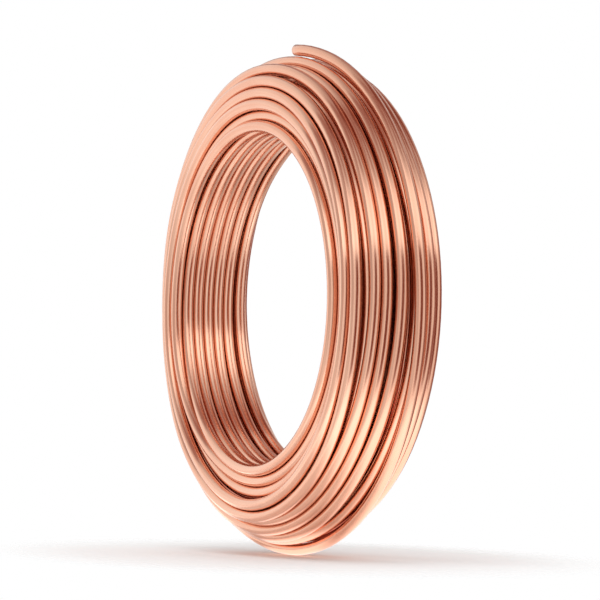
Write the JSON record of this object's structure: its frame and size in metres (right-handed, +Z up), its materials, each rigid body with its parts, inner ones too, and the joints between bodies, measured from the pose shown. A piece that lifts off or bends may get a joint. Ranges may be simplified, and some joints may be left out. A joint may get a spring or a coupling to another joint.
{
  "type": "copper tube coil",
  "caption": "Coil of soft copper tube, wound in nested layers round an open bore and standing on its rim, with one loose open tube end at the top.",
  "frame": {"origin": "on the floor under the rim, below the coil's axis and at the middle of its width", "axes": "+Z up, +Y along the coil's axis and away from its neat end face, +X to the right as seen from that face"},
  "size_m": [0.2781, 0.0528, 0.2784],
  "materials": {
    "copper": "bright drawn copper, smooth and lightly polished, with faint draw lines"
  },
  "bodies": {
    "root": {"tube_coil": "copper"}
  },
  "joints": []
}
